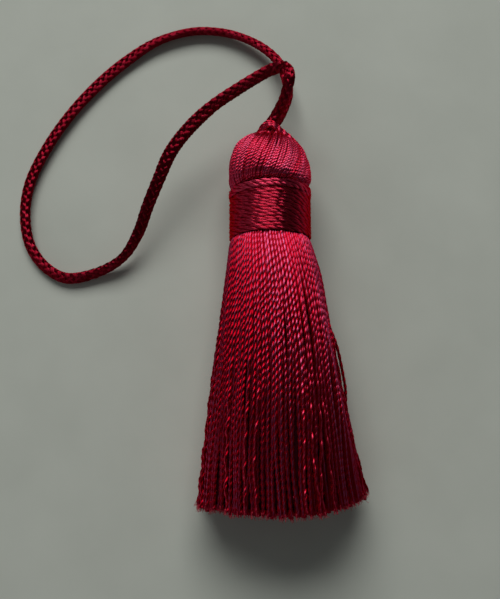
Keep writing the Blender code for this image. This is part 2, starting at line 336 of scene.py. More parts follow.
def yarn_master(name, sides, turns, steps, twisted=True):
    """A straight yarn, 1 long and 1 in radius, with its ends closed and a UV map along and round it.

    One full turn is spun with the given steps, then repeated for as many turns as asked."""
    work = bmesh.new()
    outline = bmesh.ops.create_circle(work, segments=sides, radius=1.0)["verts"]
    for vert in outline:
        lobe = abs(math.cos(math.atan2(vert.co.y, vert.co.x)))
        vert.co *= WAIST + (1.0 - WAIST) * lobe
    twist = TURN if twisted else 0.0
    bmesh.ops.spin(work, geom=work.verts[:] + work.edges[:], cent=(0, 0, 0), axis=(0, 0, 1),
                   dvec=(0, 0, 1.0 / steps), angle=twist, steps=steps, use_merge=False,
                   use_normal_flip=False, use_duplicate=False)
    one_turn = bpy.data.meshes.new(name)
    work.to_mesh(one_turn)
    long_yarn = array_mesh(name, one_turn, turns, (0.0, 0.0, 1.0), True)
    work.clear()
    work.from_mesh(long_yarn)
    rims = [edge for edge in work.edges if edge.is_boundary]
    bmesh.ops.holes_fill(work, edges=rims, sides=0)
    bmesh.ops.recalc_face_normals(work, faces=work.faces)
    layer = work.loops.layers.uv.new("yarn")
    for face in work.faces:
        columns = []
        for loop in face.loops:
            spot = loop.vert.co
            turned = math.atan2(spot.y, spot.x) - twist * spot.z
            columns.append(round(turned * sides / TURN) % sides)
        wraps = max(columns) - min(columns) > sides / 2
        for loop, column in zip(face.loops, columns):
            round_it = column + sides if wraps and column < sides / 2 else column
            loop[layer].uv = (round_it / sides, loop.vert.co.z / turns)
    bmesh.ops.scale(work, vec=(1.0, 1.0, 1.0 / turns), verts=work.verts)
    work.to_mesh(long_yarn)
    work.free()
    return long_yarn


print("waist of the figure of eight:", WAIST)

# %% Directions, ramps and values
def unit(vectors):
    """Vectors of length one."""
    return vectors / np.maximum(np.linalg.norm(vectors, axis=-1, keepdims=True), 1e-9)


def ease(value, start, end):
    """0 before start, 1 past end and a straight rise between. The end may be the lower number."""
    return np.clip((value - start) / (end - start), 0, 1)


def write_values(mesh, name, values):
    """One value for each vertex, under a name that a material can read."""
    layer = mesh.attributes.new(name, "FLOAT", "POINT")
    layer.data.foreach_set("value", values.ravel())


print("half way up a ramp from 2 to 4:", ease(3.0, 2.0, 4.0))

# %% A yarn along a path
FILAMENT_CLIMB = 0.1     # of the plies' own climb, which is how far the filaments follow it
STREAK_SHIFT = 17.0      # mm along the streaks from one yarn to the next, so that no two match


def lay_along(mesh, centre, out, radius, phase, relief, flatness=1.0, cut_length=0.0, fibre=None,
              turns=0, proud=None):
    """Bends each copy in the mesh along its own centre line: arrays of copies by stations, in mm.

    relief says how deep the valley between the plies is: 0 leaves a round yarn, 1 a figure of eight.
    The filaments run along the yarn, or along fibre if it is given. With turns, which is how often the
    plies go round, they climb a little with the plies. proud says where a yarn stands off the rest and
    gets its painted highlight."""
    copies, stations = centre.shape[:2]
    flat = np.empty(len(mesh.vertices) * 3)
    mesh.vertices.foreach_get("co", flat)
    local = flat.reshape(copies, -1, 3)
    station = np.clip(local[..., 2], 0.0, 1.0) * (stations - 1)
    low = np.clip(station.astype(int), 0, stations - 2)
    share = station - low
    rows = np.arange(copies)[:, None]

    def here(values):
        values = np.broadcast_to(values, (copies, stations) + np.shape(values)[2:])
        weight = share[..., None] if values.ndim == 3 else share
        return values[rows, low] * (1 - weight) + values[rows, low + 1] * weight

    ahead = unit(np.gradient(centre, axis=1))
    side = unit(np.cross(out, ahead))
    rise = np.cross(ahead, side)
    reach = np.linalg.norm(local[..., :2], axis=-1)
    lobe = np.clip((reach - WAIST) / (1 - WAIST), 0.0, 1.0)
    grown = (1 - here(relief) * (1 - WAIST) * (1 - lobe)) / np.maximum(reach, 1e-6) * here(radius)
    turned = here(phase)
    cos, sin = np.cos(turned), np.sin(turned)
    across = (local[..., 0] * cos - local[..., 1] * sin) * grown
    above = (local[..., 0] * sin + local[..., 1] * cos) * grown * flatness
    placed = here(centre) + across[..., None] * here(side) + above[..., None] * here(rise)
    mesh.vertices.foreach_set("co", (placed * MM).ravel())

    length = np.linalg.norm(np.diff(centre, axis=1), axis=2).sum(axis=1)
    winding = FILAMENT_CLIMB * (TURN * turns / length)[:, None, None]
    climb = winding * (across[..., None] * here(rise) - above[..., None] * here(side))
    filament = mesh.attributes.new("fibre", "FLOAT_VECTOR", "POINT")
    filament.data.foreach_set("vector", unit(here(ahead if fibre is None else fibre) + climb).ravel())
    # crown, how squarely each point faces out from its yarn, is the mask of the painted shade on a yarn's
    # sides.
    write_values(mesh, "crown", above / np.maximum(np.hypot(across, above), 1e-6))

    uv_layer = mesh.uv_layers["yarn"]
    uv = np.empty(len(mesh.loops) * 2)
    uv_layer.uv.foreach_get("vector", uv)
    uv = uv.reshape(copies, -1, 2)
    uv[..., 1] = uv[..., 1] * length[:, None] + STREAK_SHIFT * np.arange(copies)[:, None]
    uv_layer.uv.foreach_set("vector", uv.ravel())

    write_values(mesh, "shade", np.repeat(chance.random(copies), local.shape[1]))
    if cut_length:
        to_end = (1.0 - local[..., 2]) * length[:, None]
        write_values(mesh, "cut", np.clip(1.0 - to_end / cut_length, 0.0, 1.0))
    if proud is not None:
        write_values(mesh, "proud", here(proud))
    mesh.update()


print("filaments climb", FILAMENT_CLIMB, "as steeply as the plies")

# %% How yarns turn, and how a piece is added
def turning(copies, stations, spread, rng, wobble=0.0):
    """How far each yarn is turned about itself: a start, a twist of its own, and a slow wobble."""
    v = np.linspace(0.0, 1.0, stations)[None]
    start = rng.uniform(0.0, TURN, (copies, 1))
    own = rng.uniform(-spread, spread, (copies, 1))
    waves = rng.uniform(2.0, 5.0, (copies, 1))
    phase = rng.uniform(0, ANY_PHASE, (copies, 1))
    return start + own * v + wobble * np.sin(TURN * waves * v + phase)


def add_piece(name, mesh, material):
    """Links a finished mesh as a piece that rides on the tassel's one body."""
    mesh.materials.clear()
    mesh.materials.append(material)
    mesh.shade_smooth()
    piece = bpy.data.objects.new(name, mesh)
    bpy.context.scene.collection.objects.link(piece)
    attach(piece, "root")
    mesh.calc_loop_triangles()
    print(name, len(mesh.loop_triangles), "triangles")
    return piece


print("CAD solids to dress:", sorted(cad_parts))

# %% [markdown]
# ## The hanging loop
#
# The loop is a round braid of eight flat strands: four wind one way, four the other, each passing
# over one and under the next, and a ninth runs straight through the middle. It leaves the apex,
# arches over itself, lies down on the surface, comes round and goes back in. A braid strand is a helix
# whose distance from the middle rises and falls four times each turn, so eight such lines laid round
# one smooth route are the braid. The cord is a little flattened, and that flat side rolls slowly from
# end to end.

# %% Route of the loop
LOOP_ROUTE = np.array([     # mm
    (-2.3, 34.4, 8.5), (-2.0, 36.1, 8.8), (-1.3, 37.1, 9.2), (-0.5, 38.2, 10.2), (0.3, 39.3, 11.8),
    (0.9, 40.8, 13.2), (1.3, 42.6, 13.9), (0.9, 44.4, 13.4), (-0.3, 45.5, 12.3), (-2.2, 45.5, 11.2),
    (-5.0, 44.0, 10.9), (-8.3, 41.8, 10.9), (-13.1, 38.5, 10.5), (-17.8, 34.2, 9.6), (-21.1, 30.0, 8.6),
    (-23.4, 25.2, 7.2), (-25.6, 20.3, 5.6), (-27.5, 15.6, 3.9), (-30.6, 11.1, 2.4), (-35.6, 8.4, 1.3),
    (-41.6, 7.3, 0.9), (-45.8, 9.5, 0.9), (-49.0, 13.8, 0.9), (-50.4, 20.0, 0.9), (-49.9, 26.5, 0.95),
    (-47.1, 33.6, 1.0), (-42.9, 40.7, 1.0), (-37.8, 47.1, 1.0), (-32.0, 52.7, 1.0), (-25.1, 57.5, 1.0),
    (-17.4, 59.7, 1.1), (-10.6, 59.1, 1.5), (-4.3, 56.1, 2.1), (-0.3, 52.0, 2.8), (1.2, 47.8, 3.6),
    (1.5, 43.9, 4.5), (0.6, 40.7, 5.3), (-0.5, 38.0, 6.1), (-1.7, 36.0, 6.5), (-2.2, 34.2, 6.8),
])


def smooth_line(points, samples):
    """A centripetal Catmull-Rom curve through the points."""
    points = np.vstack([2 * points[0] - points[1], points, 2 * points[-1] - points[-2]])
    pieces = []
    for p0, p1, p2, p3 in zip(points, points[1:], points[2:], points[3:]):
        t1 = np.linalg.norm(p1 - p0) ** 0.5
        t2 = t1 + np.linalg.norm(p2 - p1) ** 0.5
        t3 = t2 + np.linalg.norm(p3 - p2) ** 0.5
        t = np.linspace(t1, t2, samples, endpoint=False)[:, None]
        a1 = p0 + (p1 - p0) * t / t1
        a2 = p1 + (p2 - p1) * (t - t1) / (t2 - t1)
        a3 = p2 + (p3 - p2) * (t - t2) / (t3 - t2)
        b1 = a1 + (a2 - a1) * t / t2
        b2 = a2 + (a3 - a2) * (t - t1) / (t3 - t1)
        pieces.append(b1 + (b2 - b1) * (t - t1) / (t2 - t1))
    return np.vstack(pieces + [points[-2:-1]])


def even_line(line, spacing):
    """The line's points at an even spacing, both ends kept, and its length."""
    gone = np.concatenate([[0.0], np.linalg.norm(np.diff(line, axis=0), axis=1).cumsum()])
    count = max(2, int(round(gone[-1] / spacing)) + 1)
    marks = np.linspace(0.0, gone[-1], count)
    return np.stack([np.interp(marks, gone, line[:, axis]) for axis in range(3)], axis=1), gone[-1]


loop_line, loop_length = even_line(smooth_line(LOOP_ROUTE, 16), 0.1)
print("the loop is", round(float(loop_length), 1), "mm long")

# %% How the flat side rolls
BRAID_WIDTH = 2.35        # mm across the wide way
BRAID_THICKNESS = 1.6     # and across the narrow way
STRAND_ROOM = 0.15        # mm between the cord's own outline and the surface it lies on
SHOWN_WIDTH = (           # which point of the route, and how wide the cord looks from above there, in mm
    (0, 1.9), (6, 2.0), (9, 1.95), (12, 2.05), (13, 2.34), (14, 2.34), (15, 2.15), (16, 2.1), (17, 1.98),
    (18, 1.62), (19, 1.75), (20, 2.1), (22, 2.15), (24, 2.2), (26, 2.2), (27, 2.3), (28, 2.3), (29, 1.95),
    (30, 1.65), (31, 1.65), (32, 1.9), (34, 2.0), (39, 1.8),
)


def carried_frame(line):
    """Two directions square to the line, carried along it without turning about it."""
    ahead = unit(np.gradient(line, axis=0))
    first = np.empty_like(ahead)
    first[0] = unit(np.cross(ahead[0], (0.0, 0.0, 1.0)))
    for step in range(1, len(line)):
        level = first[step - 1] - ahead[step] * np.dot(first[step - 1], ahead[step])
        first[step] = level / np.linalg.norm(level)
    return ahead, first, np.cross(first, ahead)


ahead, level, upward = carried_frame(loop_line)
facing = unit(np.cross(ahead, view_place / view_place.length))
level_to_facing = np.unwrap(np.arctan2((facing * upward).sum(axis=1), (facing * level).sum(axis=1)))
marks = np.array([np.argmin(np.linalg.norm(loop_line - LOOP_ROUTE[row], axis=1)) for row, _ in SHOWN_WIDTH])
half_wide, half_narrow = BRAID_WIDTH / 2, BRAID_THICKNESS / 2
shown = np.array([width / 2 for _, width in SHOWN_WIDTH])
wide_share = (shown ** 2 - half_narrow ** 2) / (half_wide ** 2 - half_narrow ** 2)
turned_away = np.arccos(np.sqrt(np.clip(wide_share, 0, 1)))
turned_away = np.interp(np.arange(len(loop_line)), marks, turned_away)
roll = level_to_facing + turned_away
half_tall = np.hypot(half_wide * np.sin(turned_away), half_narrow * np.cos(turned_away))
loop_line[:, 2] = np.maximum(loop_line[:, 2], half_tall + STRAND_ROOM)
print("the cord is", (2 * half_tall.min()).round(2), "to", (2 * half_tall.max()).round(2), "mm tall")

# %% The braid
BRAID_STITCH = 1.6        # mm along the cord from one stitch to the next in a column
STITCH_RISE = 0.03        # mm, how far a strand rises and sinks as it passes over and under
STITCH_SLANT = 0.78       # how much straighter a strand runs where it lies on top
STRAND_HALF_WIDTH, STRAND_FLATNESS = 0.56, 0.3
MIDDLE_HALF_WIDTH, MIDDLE_FLATNESS = 1.0, 0.66       # of the ninth strand
FIRST_STRAND = math.radians(67.5)

gone = np.arange(len(loop_line)) * loop_length / (len(loop_line) - 1)
twist = 0.5 * math.pi * gone / BRAID_STITCH
thick = STRAND_HALF_WIDTH * STRAND_FLATNESS
wide, narrow = half_wide - thick, half_narrow - thick
side_axis = level * np.cos(roll)[:, None] + upward * np.sin(roll)[:, None]
up_axis = upward * np.cos(roll)[:, None] - level * np.sin(roll)[:, None]
braid, braid_out = [], []
for way in (1, -1):
    over = STITCH_RISE * way * np.cos(4 * twist)
    straighter = way * twist - 0.25 * STITCH_SLANT * np.sin(4 * twist)
    for strand in range(4):
        angle = (FIRST_STRAND + straighter + strand * math.pi / 2)[:, None]
        braid.append(loop_line + (wide + over[:, None]) * np.cos(angle) * side_axis
                     + (narrow + over[:, None]) * np.sin(angle) * up_axis)
        braid_out.append(narrow * np.cos(angle) * side_axis + wide * np.sin(angle) * up_axis)
braid = np.array(braid + [loop_line])
braid_out = unit(np.array(braid_out + [up_axis]))
strand_width = np.full((len(braid), 1), STRAND_HALF_WIDTH)
strand_width[-1] = MIDDLE_HALF_WIDTH
strand_flatness = np.full((len(braid), 1), STRAND_FLATNESS)
strand_flatness[-1] = MIDDLE_FLATNESS
unturned = np.zeros((len(braid), 1))

braid_master = yarn_master("braid_master", sides=6, turns=138, steps=8, twisted=False)
braid_mesh = array_mesh("cord_braid", braid_master, len(braid), (0, 0, 0), False)
lay_along(braid_mesh, braid, braid_out, strand_width, unturned, unturned, flatness=strand_flatness,
          fibre=ahead[None])
cord_braid = add_piece("cord_braid", braid_mesh, braid_silk)
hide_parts("cord_loop")
loop_path = even_line(loop_line, 1.0)[0] * MM

# %% [markdown]
# ## The dark middle of the hank
#
# Between the outer yarns the eye meets more yarn in deep shade. A copy of the CAD hank, its doubled
# points merged and its surface drawn in by about one and a half yarn widths, stands for all of it, in a
# dark wine that is painted shade. It is drawn in nearly as far again down the right side of the skirt,
# where the yarns lie lower.

# %% Core
CORE_INSET = 1.0                # mm
CORE_INSET_RIGHT = 0.9          # mm more, down the skirt's right side
RIGHT_FROM_X, RIGHT_FULL_X = 2.0, 6.0
DOWN_FROM_Y, DOWN_FULL_Y = 11.0, 5.0

core_work = bmesh.new()
core_work.from_mesh(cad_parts["strand_hank"].data)
bmesh.ops.remove_doubles(core_work, verts=core_work.verts, dist=1e-6)
bmesh.ops.recalc_face_normals(core_work, faces=core_work.faces)
core_work.normal_update()
hank_tree = BVHTree.FromBMesh(core_work)
for vert in core_work.verts:
    x, y, _ = vert.co / MM
    down_right = ease(y, DOWN_FROM_Y, DOWN_FULL_Y) * ease(x, RIGHT_FROM_X, RIGHT_FULL_X)
    vert.co -= vert.normal * float(CORE_INSET + CORE_INSET_RIGHT * down_right) * MM
core_mesh = bpy.data.meshes.new("hank_core")
core_work.to_mesh(core_mesh)
core_work.free()
hank_core = add_piece("hank_core", core_mesh, core_painted_dark)
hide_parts("strand_hank")

# %% [markdown]
# ## Where the skirt's yarns run
#
# The yarns lie on the CAD hank's own surface. At each station along the skirt, rays go out from its
# middle to that surface and give its outline. A yarn keeps its share of the way round from
# the binding to the cut ends, so the yarns fan out just as the outline widens.

# %% Outlines of the skirt
AXIS_X, AXIS_Z = -2.3, 7.6              # mm, the middle of the neck
END_HEART = np.array([0.0, 6.0])        # and of the cut end
HEART_DROP = 1.6                        # mm, from one to the other
SKIRT_TOP_Y = 12.0
RAYS_LENGTH = 44.0                      # mm of the skirt that the rays measure, at every millimetre
SKIRT_LENGTH = 47.0                     # mm to the tips
RAYS = 240
RAY_REACH = 50 * MM
SMOOTHINGS = 3

ray_angles = -math.pi / 2 + TURN * np.arange(RAYS) / RAYS
skirt_y = np.linspace(SKIRT_TOP_Y, SKIRT_TOP_Y - RAYS_LENGTH, 45)
outlines = []
for y in skirt_y:
    share = (SKIRT_TOP_Y - y) / RAYS_LENGTH
    middle = Vector((AXIS_X * (1 - share), y, AXIS_Z - HEART_DROP * share)) * MM
    ring = []
    for angle in ray_angles:
        hit = hank_tree.ray_cast(middle, Vector((math.cos(angle), 0.0, math.sin(angle))), RAY_REACH)[0]
        ring.append((hit.x / MM, hit.z / MM))
    outlines.append(ring)
outlines = np.array(outlines)
for _ in range(SMOOTHINGS):
    outlines[1:-1] = (outlines[:-2] + 2 * outlines[1:-1] + outlines[2:]) / 4
    outlines = (np.roll(outlines, 1, axis=1) + 2 * outlines + np.roll(outlines, -1, axis=1)) / 4
end_slope = (outlines[-1] - outlines[-6]) / 5.0
beyond = np.arange(1.0, 6.0)
outlines = np.concatenate([outlines, outlines[-1] + end_slope * beyond[:, None, None]])
skirt_y = np.append(skirt_y, skirt_y[-1] - beyond)
print("skirt outline at the binding", outlines[0].min(axis=0).round(2), outlines[0].max(axis=0).round(2))

# %% Places round the skirt
SPLAY_RIGHT, SPLAY_LEFT = 3.0, 0.9      # mm that the ends at either side stop short
NOTCH_DEPTH = 1.3                       # mm, a short tuft at the lower left
NOTCH_ANGLE, NOTCH_WIDTH = math.radians(197.0), math.radians(7.0)


def around(share, inset):
    """Places and outward directions at shares of the way round, drawn in by inset: stations by yarns."""
    places = np.empty(share.shape + (2,))
    outward = np.empty(share.shape + (2,))
    for row, ring in enumerate(outlines):
        closed = np.vstack([ring, ring[:1]])
        step = np.diff(closed, axis=0)
        gone = np.concatenate([[0.0], np.linalg.norm(step, axis=1).cumsum()])
        along = np.roll(ring, -1, axis=0) - np.roll(ring, 1, axis=0)
        normal = unit(np.stack([along[:, 1], -along[:, 0]], axis=1))
        normal = np.vstack([normal, normal[:1]])
        mark = (share[row] % 1.0) * gone[-1]
        for axis in range(2):
            places[row, :, axis] = np.interp(mark, gone, closed[:, axis])
            outward[row, :, axis] = np.interp(mark, gone, normal[:, axis])
    outward = unit(outward)
    return places - outward * inset[..., None], outward


def share_at(x, y):
    """The share of the way round at which the upper side of the outline at y has this x."""
    ring = outlines[int(round(SKIRT_TOP_Y - y))]
    miss = np.abs(ring[:, 0] - x) + np.where(ring[:, 1] < AXIS_Z, 100.0, 0.0)
    return np.argmin(miss) / RAYS


def end_lift(angle):
    """How far the cut ends stop short at this angle about the middle: ends that splay reach less far."""
    across = np.cos(angle)
    splay = np.where(across > 0, SPLAY_RIGHT, SPLAY_LEFT) * np.abs(across) ** 3
    off = (angle % TURN - NOTCH_ANGLE) / NOTCH_WIDTH
    return splay + NOTCH_DEPTH * np.exp(-off * off)


print("ends at the right stop", SPLAY_RIGHT, "mm short")

# %% [markdown]
# ## The skirt
#
# The skirt has an outer layer of yarns and one beneath, which shows where the outer yarns part.
# Each starts inside the binding, swells out from under its edge, and runs to its cut end.
# Towards the ends the yarns drift together in small clumps and the gaps between clumps go dark.
# Three yarns in ten of the outer layer stand a little proud, in long waves whose slopes catch the
# window, and one on the right has come loose and stands off for a part of its way.
# Near their cut ends the proud yarns also get a brighter red: a painted highlight.

# %% Where each yarn lies in its layer
SINK = 1.5                              # mm, how far the yarns on the right drop below the rest
PROUD_LIFT = 0.2                        # mm, how far a proud yarn stands off
WAVE_HEIGHT, WAVE_MORE = 0.12, 0.15     # mm, of its waves, and how much higher they grow near the ends
LOOSE_Y, LOOSE_REACH, LOOSE_GAP = -10.0, 6.5, 0.95   # mm, where the loose yarn stands off, and how far
PARTINGS = (    # mm: x and y of the middle, how far it runs either way, how many yarn widths it opens
    (3.7, -1.5, 6.5, 0.75), (-0.6, -6.0, 5.0, 0.55), (7.9, -12.0, 8.0, 0.6), (-7.6, -14.0, 9.0, 0.5),
    (1.5, -24.0, 9.0, 0.7), (-4.0, -28.0, 8.0, 0.6), (10.5, -27.0, 8.0, 0.7), (5.8, -31.0, 7.0, 0.6),
    (-11.0, -30.0, 8.0, 0.6),
)
CLUMP_WAVES = ((13, 0.5), (21, 0.38), (34, 0.3))     # how many waves round the skirt, and their weight
WANDER_WAVES = (1.3, 2.9)                            # along one yarn

down_skirt = ((SKIRT_TOP_Y - skirt_y) / SKIRT_LENGTH)[:, None]


def drifted_shares(count, start_share, wander, rng):
    """Each yarn's share of the way round, at every station, with its clump, its own way and the partings."""
    down = down_skirt
    base = start_share + (np.arange(count) + 0.5 + rng.uniform(-0.12, 0.12, count)) / count
    clump = np.zeros((len(skirt_y), count))
    for waves, weight in CLUMP_WAVES:
        phase = rng.uniform(0, TURN)
        drift = rng.uniform(-0.9, 0.9)
        clump += weight * np.sin(TURN * waves * base[None] + phase + drift * 2 * down) / waves * 4
    loose = np.zeros_like(clump)
    for waves in WANDER_WAVES:
        loose += np.sin(TURN * waves * down + rng.uniform(0, TURN, count)[None]) / waves
    loose *= rng.uniform(0.3, 1.0, count)[None]
    share = base[None] + wander * (down ** 1.2 * clump + 0.35 * (0.15 + down) * loose) / count
    for x, y, reach, opening in PARTINGS:
        off = (base - share_at(x, y) + 0.5) % 1.0 - 0.5
        push = 0.5 * opening * np.sign(off) * np.exp(-np.abs(off) * count / 3.0) / count
        share += push[None] * np.exp(-((skirt_y - y) / reach) ** 2)[:, None]
    return share


def sunk_insets(share, depth_top, depth_end, proud_share, rng):
    """How far each yarn lies inside the outline, at every station, and which yarns stand proud."""
    down, count = down_skirt, share.shape[1]
    inset = depth_top + (depth_end - depth_top) * down
    swell = np.sin(TURN * 1.7 * down + rng.uniform(0, TURN, count)[None])
    inset = inset + 0.10 * swell * np.minimum(1.0, 0.3 + down)
    places, outward = around(share, inset)
    sunk = ease(places[..., 0] - 9.0 * down, 3.6, 5.1) * ease(down, 0.12, 0.52)
    proud = rng.random(count) < proud_share
    wave_length = rng.uniform(4.0, 6.0, count)[None]
    wave = np.sin(TURN * down * SKIRT_LENGTH / wave_length + rng.uniform(0, ANY_PHASE, count)[None])
    late = ease(down, 0.4, 0.9) * np.clip(1.5 * outward[..., 1], 0, 1)
    wave *= (WAVE_HEIGHT + WAVE_MORE * late) * np.clip(2.2 * down - 0.3, 0, 1)
    inset = inset - proud[None] * (PROUD_LIFT * np.clip(3 * down - 0.3, 0, 1) + wave)
    inset = inset + SINK * sunk * (1.0 - 0.6 * down)
    if proud_share:
        loose_yarn = np.argmax(places[int(SKIRT_TOP_Y - LOOSE_Y), :, 0])
        inset[:, loose_yarn] -= LOOSE_GAP * np.exp(-((skirt_y - LOOSE_Y) / LOOSE_REACH) ** 4)
    return inset, proud


print(len(PARTINGS), "partings, and clumps of", " and ".join(str(waves) for waves, _ in CLUMP_WAVES), "round")

# %% Paths from the binding to the cut ends
COLLAR = (      # mm: y, and the distance from the neck's middle, of the yarns inside the binding
    (15.0, 6.2), (14.0, 6.45), (13.5, 6.68), (13.0, 6.88), (12.7, 7.03), (12.4, 7.2),
)
COLLAR_EDGE = 7.35              # mm, the same distance where they come out
YARN_STATIONS = 90
END_ROW = 44                    # of the outlines, the last one that the rays measured
TIP_SCATTER = 0.22              # mm


def skirt_paths(count, start_share, depth_top, depth_end, wander, proud_share, seed):
    """Centre lines and outward directions of one layer of yarns, and which of them stand proud."""
    rng = np.random.default_rng(seed)
    share = drifted_shares(count, start_share, wander, rng)
    inset, proud = sunk_insets(share, depth_top, depth_end, proud_share, rng)
    places, outward = around(share, inset)
    from_neck = places[0] - np.array([AXIS_X, AXIS_Z])
    distance = np.linalg.norm(from_neck, axis=1, keepdims=True)
    collar = [np.array([AXIS_X, AXIS_Z]) + unit(from_neck) * (distance + radius - COLLAR_EDGE)
              for _, radius in COLLAR]
    all_y = np.concatenate([[y for y, _ in COLLAR], skirt_y])
    all_places = np.concatenate([collar, places])
    all_out = np.concatenate([np.repeat(outward[:1], len(COLLAR), axis=0), outward])
    angle = np.arctan2(places[END_ROW, :, 1] - END_HEART[1], places[END_ROW, :, 0] - END_HEART[0])
    end_y = hank_low[1] + end_lift(angle) + rng.normal(0.0, TIP_SCATTER, count)
    v = np.linspace(0.0, 1.0, YARN_STATIONS)
    centre = np.empty((count, YARN_STATIONS, 3))
    out = np.zeros((count, YARN_STATIONS, 3))
    for yarn in range(count):
        y = all_y[0] + (end_y[yarn] - all_y[0]) * v
        centre[yarn, :, 1] = y
        for axis, target in ((0, 0), (1, 2)):
            centre[yarn, :, target] = np.interp(-y, -all_y, all_places[:, yarn, axis])
            out[yarn, :, target] = np.interp(-y, -all_y, all_out[:, yarn, axis])
    splay = rng.normal(0.0, TIP_SCATTER, (count, 2))
    late = ease(v, 0.75, 1.0) ** 2
    side = np.cross(out, (0.0, 1.0, 0.0))
    centre += late[None, :, None] * (splay[:, :1, None] * side + 0.6 * splay[:, 1:, None] * out)
    return centre, out, proud


YARN_RADIUS = 0.33
OUTER_COUNT = 90
outer_paths = skirt_paths(OUTER_COUNT, 0.0, 0.30, 0.32, 1.0, 0.2, 3)
print(int(outer_paths[2].sum()), "of", OUTER_COUNT, "outer yarns stand proud")

# %% Skirt yarns
FRAYED_END = 0.8                # mm at the tip that looks matt
TIP_SWELL = 1.18                # a cut end opens a little
HARD_SHARE = 0.2                # of the yarns are twisted harder, so their valleys are deeper
PLY_RELIEF = ((0.0, 0.2), (0.14, 0.3), (0.22, 0.5), (0.38, 0.8), (1.0, 0.7))    # by share of the length


def add_skirt(name, paths, parts, sides, turns, steps):
    """The yarns of one layer as a few pieces side by side."""
    centre, out, proud = paths
    centre[..., 2] = np.maximum(centre[..., 2], 1.3 * YARN_RADIUS)
    count, stations = centre.shape[:2]
    down = np.linspace(0.0, 1.0, stations)[None]
    for part in range(parts):
        rows = slice(part * count // parts, (part + 1) * count // parts)
        own = rows.stop - rows.start
        mesh = array_mesh(name, yarn_master(name + "_master", sides, turns, steps), own, (0, 0, 0), False)
        size = np.full((own, stations), YARN_RADIUS) * chance.uniform(0.92, 1.08, (own, 1))
        size[:, -1] *= TIP_SWELL
        hard = chance.random((own, 1)) < HARD_SHARE
        relief = np.interp(down, *zip(*PLY_RELIEF))
        relief = relief * chance.uniform(0.75, 1.1, (own, 1)) + 0.35 * hard * np.clip(4 * down - 0.8, 0, 1)
        relief = relief * (1.0 - 0.6 * ease(out[rows, :, 0], 0.2, 0.6))
        # proud: where a proud yarn takes its painted highlight, coming in from half way down and full from
        # three quarters.
        lay_along(mesh, centre[rows], out[rows], size, turning(own, stations, 9.0, chance, 0.8), relief,
                  cut_length=FRAYED_END, turns=turns, proud=proud[rows, None] * ease(down, 0.5, 0.75))
        add_piece(f"{name}_{part + 1}", mesh, skirt_silk)


add_skirt("skirt_outer", outer_paths, parts=3, sides=12, turns=19, steps=8)
inner_paths = skirt_paths(OUTER_COUNT, 0.5 / OUTER_COUNT, 0.62, 0.55, 1.3, 0.0, 5)
add_skirt("skirt_inner", inner_paths, parts=2, sides=7, turns=17, steps=6)

# %% [markdown]
# ## The cut ends
#
# Seen from the open end, a tassel is hundreds of cut yarns packed side by side. Only their last few
# millimetres show, so each is a short stub with few faces, placed on a honeycomb grid that fills the
# outline of the skirt's end and leaning the way its yarn would run.

# %% Places of the stubs
STUB_SPACING = 0.68             # mm
LOWEST_STUB_Z = 0.45
STUB_MARGIN = 0.95              # mm inside the outline, where the outer yarns have their ends
STUB_JITTER = 0.09

end_ring = outlines[-2]
end_angle = np.unwrap(np.arctan2(end_ring[:, 1] - END_HEART[1], end_ring[:, 0] - END_HEART[0]))
end_reach = np.linalg.norm(end_ring - END_HEART, axis=1)
stubs = []
for number, z in enumerate(np.arange(LOWEST_STUB_Z, hank_high[2], STUB_SPACING * math.sqrt(0.75))):
    for x in np.arange(hank_low[0], hank_high[0], STUB_SPACING):
        spot = np.array([x + 0.5 * STUB_SPACING * (number % 2), z])
        spot = spot + chance.uniform(-STUB_JITTER, STUB_JITTER, 2)
        angle = math.atan2(spot[1] - END_HEART[1], spot[0] - END_HEART[0])
        if angle < end_angle[0]:
            angle += TURN
        reach = np.interp(angle, end_angle, end_reach)
        depth = np.linalg.norm(spot - END_HEART) / reach
        if depth * reach < reach - STUB_MARGIN:
            stubs.append((np.interp(angle, end_angle, np.arange(RAYS) / RAYS), depth, angle))
print(len(stubs), "stubs")

# %% Stubs
STUB_LENGTH = 3.2               # mm
STUB_STATIONS = 5
STUB_LEAN = 0.12                # mm, how far its end strays
STUB_SWELL = 1.1
STUB_FLOOR = 0.38               # mm, the lowest that its middle may lie


def fan_place(share, depth_share, y):
    """A point in the fan at y: depth_share 1 is on the outline, 0 in the middle."""
    row = np.clip((SKIRT_TOP_Y - y), 0, len(skirt_y) - 1.001)
    low = int(row)
    rings = outlines[low] * (1 - (row - low)) + outlines[low + 1] * (row - low)
    spot = (share % 1.0) * RAYS
    first = int(spot) % RAYS
    edge = rings[first] * (1 - (spot - int(spot))) + rings[(first + 1) % RAYS] * (spot - int(spot))
    down = (SKIRT_TOP_Y - y) / SKIRT_LENGTH
    heart = np.array([AXIS_X * (1 - down), AXIS_Z - HEART_DROP * down])
    return heart + depth_share * (edge - heart)


stub_centre = np.zeros((len(stubs), STUB_STATIONS, 3))
for number, (share, depth, angle) in enumerate(stubs):
    lifted = float(end_lift(np.array(angle))) * depth ** 3
    end_y = hank_low[1] + lifted + chance.normal(0.0, TIP_SCATTER)
    lean = chance.normal(0.0, STUB_LEAN, 2)
    for step in range(STUB_STATIONS):
        up = 1.0 - step / (STUB_STATIONS - 1)
        y = end_y + STUB_LENGTH * up
        x, z = fan_place(share, depth, y) + lean * (1 - up)
        stub_centre[number, step] = (x, y, max(z, STUB_FLOOR))
stub_out = np.zeros_like(stub_centre)
stub_out[..., 2] = 1.0
stub_size = np.full(stub_centre.shape[:2], YARN_RADIUS)
stub_size[:, -1] *= STUB_SWELL
stub_master = yarn_master("stub_master", sides=8, turns=1, steps=4)
stub_mesh = array_mesh("cut_ends", stub_master, len(stubs), (0, 0, 0), False)
lay_along(stub_mesh, stub_centre, stub_out, stub_size, turning(len(stubs), STUB_STATIONS, 1.0, chance),
          np.full((len(stubs), 1), 0.6), cut_length=FRAYED_END)
add_piece("cut_ends", stub_mesh, skirt_silk)

